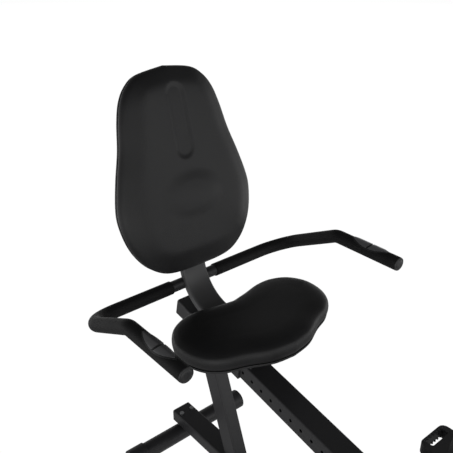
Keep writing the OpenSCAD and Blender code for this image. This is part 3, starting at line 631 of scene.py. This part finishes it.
# (inset from the rim, height) of the side wall, then of the face that starts on top of it
BACK_WALL = [(-0.9, 12.2), (-1.5, 9.0), (-1.5, 6.0), (-0.9, 3.0), (0.2, 0.6)]
BACK_FACE = profile([(0, 15), (2, 18.2), (5, 21.2), (10, 24.3), (18, 28), (28, 32), (38, 35.6), (48, 38.2),
                     (60, 39.8), (80, 40.5), (120, 40.8), (200, 40.8)])
SEAT_WALL = [(-1.9, 26.0), (-3.0, 21.5), (-3.6, 16.5), (-3.4, 11.0), (-2.4, 6.0), (-0.6, 2.0)]
SEAT_FACE = profile([(0, 29.5), (2, 32), (6, 35), (12, 38), (20, 40.2), (30, 41.8), (44, 43), (60, 43.6),
                     (90, 44), (250, 44)])


def back_height(h, y, e):
    # the flat face starts nearer the rim at the top than at the sides
    reach = 47 - 10 * smoothstep(180, 270, h) + 6 * smoothstep(-120, -180, h)
    d = BACK_FACE(e * 47 / reach)
    # long recessed channel
    along = max(abs(h - 167.5) - 65.5, 0.0)
    edge = math.hypot(along, y) - 22
    d -= 4.0 * smoothstep(8.0, -7.0, edge)
    # lumbar swell
    r = math.hypot(y / 95, (h + 12) / 63)
    d += 3.0 * smoothstep(1.04, 0.5, r) + 5.0 * smoothstep(1.02, 0.0, r)
    return d


def seat_height(x, y, e):
    d = SEAT_FACE(e)
    # shallow dish where the rider sits
    d -= 3.5 * math.exp(-((x + 25) / 85) ** 2 - (y / 120) ** 2) * smoothstep(20, 70, e)
    return d


def make_pads():
    jobs = (
        ("back_pad", BACK_HALF, (40, 0), back_height, back_to_bike, BACK_WALL, 8.0, "back_cushion",
         (back_to_bike(0, 0, 0), (back_to_bike(0, 0, 1) - back_to_bike(0, 0, 0)).normalized())),
        ("seat_pad", SEAT_HALF, (5, 0), seat_height, seat_to_bike, SEAT_WALL, 6.0, "seat_cushion",
         (seat_to_bike(0, 0, 0), Vector((0, 0, 1)))),
    )
    for name, half, centre, height, to_bike, wall, cap, node, plane in jobs:
        pad = pad_mesh(name, half, centre, height, to_bike, 420, 110, VINYL, wall)
        rough = pad_mesh(name + "_rough", half, centre, height, to_bike, 140, 36, VINYL, wall)
        swell(pad, rough, 0.006, cap * MM, 1.2 * MM, plane)
        place(pad, "seat", node)


def shell_of(name, half, to_bike, depth, node):
    """Thin moulded shell behind a pad: a rolled lip, a groove inside it and a flat back."""
    outline = closed_outline(half, 360)
    section = [(9, -2.2), (4.6, -2.2), (3.4, -4.4), (2.2, -4.4), (1.4, -2.6), (0.2, -1.9), (-0.4, -2.6),
               (-0.6, -4.5), (-0.2, -6.6), (1.2, -8.4), (5.0, -depth + 1.4), (9.0, -depth + 0.4),
               (14.0, -depth), (40.0, -depth)]
    rings = [[to_bike(a, b, d) for a, b in offset_ring(outline, off)] for off, d in section]
    place(loft(name, rings, SHELL), "seat", node)


# ---- tubes --------------------------------------------------------------------------------------------
def arc_path(points, radii, step=0.004):
    """Centreline through corner points, with a round bend at each inner one."""
    pts = [Vector(p) for p in points]
    line = [pts[0]]
    for i in range(1, len(pts) - 1):
        a, b, c = pts[i - 1], pts[i], pts[i + 1]
        u, v = (a - b).normalized(), (c - b).normalized()
        turn = math.pi - u.angle(v)
        cut = radii[i - 1] * math.tan(turn / 2)
        start, end = b + u * cut, b + v * cut
        middle = (u + v).normalized() * (radii[i - 1] / math.cos(turn / 2)) + b
        count = max(int(turn * radii[i - 1] / step), 6)
        s, e = start - middle, end - middle
        for k in range(count + 1):
            f = k / count
            line.append(middle + (s * math.sin((1 - f) * turn) + e * math.sin(f * turn)) / math.sin(turn))
    line.append(pts[-1])
    return line


def sweep(name, line, section, mat, up=(0, 0, 1), ends=None):
    """Sweep a closed flat section along a line, keeping its turn steady. ends scales it at each point."""
    tangents = []
    for i in range(len(line)):
        a, b = line[max(i - 1, 0)], line[min(i + 1, len(line) - 1)]
        tangents.append((b - a).normalized())
    side = tangents[0].cross(Vector(up)).normalized()
    rings = []
    for i, (p, t) in enumerate(zip(line, tangents)):
        if i:
            side = tangents[i - 1].rotation_difference(t) @ side
        top = side.cross(t)
        f = ends[i] if ends else 1.0
        rings.append([p + side * (a * f) + top * (b * f) for a, b in section])
    return loft(name, rings, mat)


def circle(r, n=56):
    return [(r * math.cos(2 * math.pi * k / n), r * math.sin(2 * math.pi * k / n)) for k in range(n)]


def rounded_rect(w, h, r, n=8):
    out = []
    for sx, sy, a0 in ((1, 1, 0), (-1, 1, 90), (-1, -1, 180), (1, -1, 270)):
        for k in range(n + 1):
            a = math.radians(a0 + 90 * k / n)
            out.append((sx * (w / 2 - r) + r * math.cos(a), sy * (h / 2 - r) + r * math.sin(a)))
    return out


def join(name, parts):
    """One object from several meshes that share a look."""
    bm = bmesh.new()
    mats = []
    for o in parts:
        before = len(bm.faces)
        bm.from_mesh(o.data)
        bm.faces.ensure_lookup_table()
        mat = o.data.materials[0]
        if mat not in mats:
            mats.append(mat)
        for f in bm.faces[before:]:
            f.material_index = mats.index(mat)
        bpy.data.objects.remove(o, do_unlink=True)
    mesh = bpy.data.meshes.new(name)
    bm.to_mesh(mesh)
    bm.free()
    for m in mats:
        mesh.materials.append(m)
    obj = bpy.data.objects.new(name, mesh)
    bpy.context.scene.collection.objects.link(obj)
    return obj


SLEEVE_R = 0.0175
CORNER_R, LEVEL_R = 0.085, 0.045
ARM_Y, RISE_X, RISE_Z, GRIP_END = 0.320, 0.209, 0.104, 0.404


def refine(line, step):
    """Add points on the straight runs, so that both ends can be rounded."""
    out = []
    for a, b in zip(line, line[1:]):
        n = max(int((b - a).length / step), 1)
        out += [a.lerp(b, k / n) for k in range(n)]
    out.append(line[-1])
    return out


def make_handlebar():
    for side, word in ((-1, "right"), (1, "left")):
        corners = [P(0, side * 0.071, 0), P(0, side * ARM_Y, 0), P(RISE_X, side * ARM_Y, RISE_Z),
                   P(GRIP_END, side * ARM_Y, RISE_Z)]
        line = refine(arc_path(corners, [CORNER_R, LEVEL_R]), 0.02)
        direction = (line[1] - line[0]).normalized()
        lead = [line[0] + direction * (0.0012 * k) for k in (0, 0.35, 1)]
        tail = [line[-1] - Vector((0.0012 * k, 0, 0)) for k in (1, 0.35, 0)]
        body = lead + line[1:-1] + tail
        scale = [0.935, 0.975, 1.0] + [1.0] * (len(line) - 2) + [1.0, 0.975, 0.935]
        tube = sweep("grip_sleeve_" + word, body, circle(SLEEVE_R), FOAM, ends=scale)
        place(tube, "seat", "sleeve_" + word)
    caps = []
    for side in (-1, 1):
        axis = P(0, side * ARM_Y, RISE_Z)
        outline = [(GRIP_END + 0.0002, 0.0168), (GRIP_END + 0.0014, 0.0171), (GRIP_END + 0.0026, 0.0166),
                   (GRIP_END + 0.0033, 0.0156), (GRIP_END + 0.0034, 0.0138), (GRIP_END + 0.0029, 0.0135),
                   (GRIP_END + 0.0029, 0.0130), (GRIP_END + 0.0036, 0.0126), (GRIP_END + 0.0040, 0.006)]
        rings = [[axis + Vector((x, r * math.cos(2 * math.pi * k / 56), r * math.sin(2 * math.pi * k / 56)))
                  for k in range(56)] for x, r in outline]
        caps.append(loft("cap", rings, PLASTIC))
    place(join("grip_end_caps", caps), "seat", "bar_end_caps")


def lens_patch(name, axis, x_mid, half_l, half_w, r, thick, mat, cut=None, bulge=0.0):
    """A curved lens of sheet lying on top of a grip. cut = (low, high) keeps part of its length."""
    nu, nv = 64, 14
    verts, faces = [], []
    low, high = cut or (-half_l, half_l)
    for i in range(nu + 1):
        for j in range(-nv, nv + 1):
            v = j / nv
            lo = low + (bulge * (1 - v * v) if cut and low > -half_l else 0)
            hi = high + (bulge * (1 - v * v) if cut and high < half_l else 0)
            u = lo + (hi - lo) * i / nu
            w = half_w * max(1 - (u / half_l) ** 2, 0.0) ** 0.9
            a = v * w / r
            verts.append(axis + Vector((x_mid + u, r * math.sin(a), r * math.cos(a))))
    m = 2 * nv + 1
    for i in range(nu):
        for j in range(m - 1):
            a = i * m + j
            faces.append((a, a + m, a + m + 1, a + 1))
    obj = mesh_object(name, verts, faces, mat)
    bm = bmesh.new()
    bm.from_mesh(obj.data)
    bmesh.ops.remove_doubles(bm, verts=bm.verts, dist=0.00002)
    bmesh.ops.recalc_face_normals(bm, faces=bm.faces)
    out = sum((f.normal.z * f.calc_area() for f in bm.faces), 0.0)
    if out < 0:
        bmesh.ops.reverse_faces(bm, faces=bm.faces)
    geom = bmesh.ops.extrude_face_region(bm, geom=list(bm.faces))
    for v in (g for g in geom["geom"] if isinstance(g, bmesh.types.BMVert)):
        away = Vector((0, v.co.y - axis.y, v.co.z - axis.z)).normalized()
        v.co += away * thick
    bmesh.ops.recalc_face_normals(bm, faces=bm.faces)
    bm.to_mesh(obj.data)
    bm.free()
    shade_smooth(obj)
    bevelled(obj, 0.0007, 2, 50)
    return baked(obj)


def baked(obj):
    """Apply the piece's modifiers to its mesh."""
    dg = bpy.context.evaluated_depsgraph_get()
    mesh = bpy.data.meshes.new_from_object(obj.evaluated_get(dg))
    obj.modifiers.clear()
    obj.data = mesh
    return obj


SENSOR_X, POD_L, POD_W, PLATE_L, PLATE_W = 0.317, 0.060, 0.0185, 0.0545, 0.0160


def make_sensors():
    pods, plates = [], []
    for side in (-1, 1):
        axis = P(0, side * ARM_Y, RISE_Z)
        pods.append(lens_patch("pod", axis, SENSOR_X, POD_L, POD_W, SLEEVE_R - 0.0004, 0.0013, PLASTIC))
        for cut in ((-PLATE_L, -0.0035), (0.0025, PLATE_L)):
            plates.append(lens_patch("plate", axis, SENSOR_X, PLATE_L, PLATE_W, SLEEVE_R + 0.0006, 0.0016,
                                     PLATE, cut=cut, bulge=0.005))
    place(join("pulse_sensor_pods", pods), "seat", "sensor_pods")
    place(join("pulse_sensor_plates", plates), "seat", "sensor_plates")


def make_upright():
    top = P(0, 0, 0) + Vector((0.118, 0, 0.068))
    r = 0.122
    line = [top + Vector((0.150, 0, -r))]
    for k in range(41):
        a = math.radians(270 - 75 * k / 40)
        line.append(top + Vector((r * math.cos(a), 0, r * math.sin(a))))
    line.append(line[-1] + Vector((-math.sin(RECLINE), 0, math.cos(RECLINE))) * 0.330)
    post = sweep("bent_upright", refine(line, 0.03), rounded_rect(0.074, 0.024, 0.0095), GRAPHITE_WITH_PAINTED_SHEEN)
    place(post, "seat", "seat_upright")


def soften(names, width, segments=3):
    """Rounded edges on parts that keep their drawn shape."""
    for name in names.split():
        bevelled(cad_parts[name], width, segments, 40)


# ---- drive end ----------------------------------------------------------------------------------------
CX, CZ = BX + 0.840, 0.350
HOUSING = [(-205, -70), (-215, 20), (-160, 88), (-40, 128), (90, 150), (200, 150), (300, 95), (362, -10),
           (370, -140), (330, -235), (200, -262), (0, -258), (-130, -200)]
# (inset from the outline, distance from the centre plane) around the shell's rounded edge
HOUSING_EDGE = [(0, 0.3), (0, 2.2), (0.5, 3.0), (0.9, 12), (1.8, 26), (3.6, 40), (6.2, 48.5), (10, 54),
                (15, 57.4), (22, 59.2), (30, 59.8)]
FLY_U, FLY_W = 225, -60


def closed_curve(points, count, steps=12):
    """A smooth closed outline through the points, evenly spaced."""
    n = len(points)
    out = []
    for i in range(n):
        four = [points[(i + k) % n] for k in (-1, 0, 1, 2)]
        out += [between(four, k / steps) + (0,) for k in range(steps)]
    return even(out, count, closed=True)


def housing_face(u, w):
    """Relief of the housing's side, in mm: a crank shroud and a flywheel ring with air slots."""
    d = 0.0
    r = math.hypot(u, w)
    d += 2.4 * smoothstep(92, 84, r) - 4.2 * smoothstep(66, 60, r)
    f = math.hypot(u - FLY_U, w - FLY_W)
    d += 1.8 * smoothstep(118, 112, f) - 1.8 * smoothstep(104, 98, f)
    a = math.degrees(math.atan2(w - FLY_W, u - FLY_U))
    if 30 < f < 92 and abs(a - 60) < 70:
        slot = abs((f % 15.5) - 7.75)
        d -= 2.6 * smoothstep(4.2, 2.6, slot) * smoothstep(70, 64, abs(a - 60))
    return d


def make_housing():
    outline = closed_curve(HOUSING, 480)
    for side, word in ((-1, "right"), (1, "left")):
        rings = []
        for off, y in HOUSING_EDGE:
            rings.append([Vector((CX + a * MM, side * y * MM, CZ + b * MM))
                          for a, b in offset_ring(outline, off)])
        inset, face_y = HOUSING_EDGE[-1]
        edge = offset_ring(outline, inset)
        hub = 20.0
        steps = 96
        for i in range(1, steps + 1):
            f = i / steps
            ring = []
            for a, b in edge:
                r = math.hypot(a, b)
                q = (a * hub / r, b * hub / r)
                u, w = a + (q[0] - a) * f, b + (q[1] - b) * f
                ring.append(Vector((CX + u * MM, side * (face_y + housing_face(u, w)) * MM, CZ + w * MM)))
            rings.append(ring)
        rings.append([Vector((v.x, side * 0.050, v.z)) for v in rings[-1]])
        shell = loft("housing_shell_" + word, rings, PLASTIC, caps=False)
        bm = bmesh.new()
        bm.from_mesh(shell.data)
        bmesh.ops.recalc_face_normals(bm, faces=bm.faces)
        face = max(bm.faces, key=lambda f: side * f.calc_center_median().y)
        if face.normal.y * side < 0:
            bmesh.ops.reverse_faces(bm, faces=bm.faces)
        bm.to_mesh(shell.data)
        bm.free()
        place(shell, "frame", "housing_" + word)


MAST_X, MAST_Z, MAST_LEAN, MAST_LEN = CX + 0.172, 0.436, math.radians(7), 0.690


def on_mast(x, y, z):
    c, s = math.cos(MAST_LEAN), math.sin(MAST_LEAN)
    return Vector((MAST_X + x * c - z * s, y, MAST_Z + x * s + z * c))


def make_front_bar():
    origin = on_mast(0, 0, MAST_LEN - 0.060)
    tilt = Matrix.Rotation(math.radians(-8), 3, "Y")

    def on_bar(x, y):
        return origin + tilt @ Vector((x, y, 0))

    corners = [on_bar(-0.120, -0.150), on_bar(0, -0.150), on_bar(0, 0.150), on_bar(-0.120, 0.150)]
    bar = sweep("front_bar", refine(arc_path(corners, [0.045, 0.045]), 0.02), circle(0.0127, 40), PAINT)
    place(bar, "frame", "front_handlebar")
    grips = []
    for side in (-1, 1):
        line, scale = [], []
        n = 90
        for k in range(n + 1):
            line.append(on_bar(-0.059 - 0.0665 * k / n, side * 0.150))
            near = min(k, n - k)
            round_end = 1.0 if near >= 3 else (0.84, 0.94, 0.985)[near]
            rib = 0.972 if 8 < k < n - 8 and k % 6 < 2 else 1.0
            scale.append(round_end * rib)
        grips.append(sweep("grip", line, circle(0.0163, 48), FOAM, ends=scale))
    place(join("front_grip_pair", grips), "frame", "front_grips")


CRANK_LEN, CRANK_REST = 0.160, math.radians(35)
ARM_START, ARM_T, PEDAL_GAP, PEDAL_W = 0.068, 0.014, 0.008, 0.088


def make_straps():
    """Toe straps: a flat band arched over each pedal."""
    for side, word in ((-1, "right"), (1, "left")):
        turn = CRANK_REST if side < 0 else CRANK_REST + math.pi
        hub = Vector((CX + CRANK_LEN * math.cos(turn), 0, CZ - CRANK_LEN * math.sin(turn)))
        middle = ARM_START + ARM_T + PEDAL_GAP + PEDAL_W / 2
        half, high = 0.0412, 0.0665
        line = []
        for k in range(49):
            t = math.pi * k / 48
            y = half * abs(math.cos(t)) ** 0.6 * (1 if math.cos(t) >= 0 else -1)
            line.append(hub + Vector((0.027, side * middle + y, 0.0124 + high * math.sin(t) ** 0.7)))
        strap = sweep("toe_strap_" + word, line, rounded_rect(0.026, 0.0026, 0.0012, 3), STRAP, up=(0, 1, 0))
        place(strap, "pedal_" + word, "pedal_strap_" + word)


def studs_on_pedals():
    """Grip studs on each pedal's two treads, instanced over a line of points."""
    for side, word in ((-1, "right"), (1, "left")):
        low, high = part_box("pedal_" + word)
        verts = []
        for x in (low.x + 0.007, high.x - 0.007):
            for k in range(7):
                y = low.y + 0.014 + k * 0.010
                for z in (low.z, high.z):
                    verts.append(Vector((x, y, z)))
        anchor = mesh_object("pedal_studs_" + word, verts, [], PLASTIC)
        group = bpy.data.node_groups.new("studs " + word, "GeometryNodeTree")
        group.interface.new_socket("Geometry", in_out="INPUT", socket_type="NodeSocketGeometry")
        group.interface.new_socket("Geometry", in_out="OUTPUT", socket_type="NodeSocketGeometry")
        gi, go = group.nodes.new("NodeGroupInput"), group.nodes.new("NodeGroupOutput")
        points = group.nodes.new("GeometryNodeMeshToPoints")
        stud = group.nodes.new("GeometryNodeMeshUVSphere")
        stud.inputs["Segments"].default_value = 16
        stud.inputs["Rings"].default_value = 10
        stud.inputs["Radius"].default_value = 0.0026
        spread = group.nodes.new("GeometryNodeInstanceOnPoints")
        real = group.nodes.new("GeometryNodeRealizeInstances")
        paint = group.nodes.new("GeometryNodeSetMaterial")
        paint.inputs["Material"].default_value = PLASTIC
        link = group.links.new
        link(gi.outputs[0], points.inputs["Mesh"])
        link(points.outputs[0], spread.inputs["Points"])
        link(stud.outputs["Mesh"], spread.inputs["Instance"])
        link(spread.outputs[0], real.inputs[0])
        link(real.outputs[0], paint.inputs["Geometry"])
        link(paint.outputs[0], go.inputs[0])
        anchor.modifiers.new("studs", "NODES").node_group = group
        shade_smooth(baked(anchor))
        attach(anchor, "pedal_" + word)


studio()
glow_card("grey_card", (-0.1, 0, -0.02), 1.9, 0.24)
area_light("softbox_front", (1.9, -2.1, 0.9), (-0.4, 0, 0.7), (1.5, 1.3), 5)
area_light("softbox_key", (2.2, 0.75, 1.95), (-0.6, 0, 0.8), (0.8, 0.8), 3.5)
make_pads()
shell_of("backrest_shell", BACK_HALF, back_to_bike, 10.6, "back_shell")
shell_of("seat_base_shell", SEAT_HALF, seat_to_bike, 12.0, "seat_shell")
make_handlebar()
make_sensors()
make_upright()
make_housing()
make_front_bar()
make_straps()
studs_on_pedals()
soften("rail_end_plug rear_foot_caps front_foot_caps tension_knob pedal_right pedal_left lock_pin "
       "console_back console_face transport_wheel_right transport_wheel_left "
       "button_mode button_set button_reset", 0.0014)
soften("crank_arm_right crank_arm_left mast seat_carriage riser_plates drive_plates base_beam rear_leg",
       0.0008, 2)
soften("crank_axle frame_bolts seat_bolts housing_screws flywheel", 0.0005, 2)

bpy.context.scene.view_settings.view_transform = "Standard"
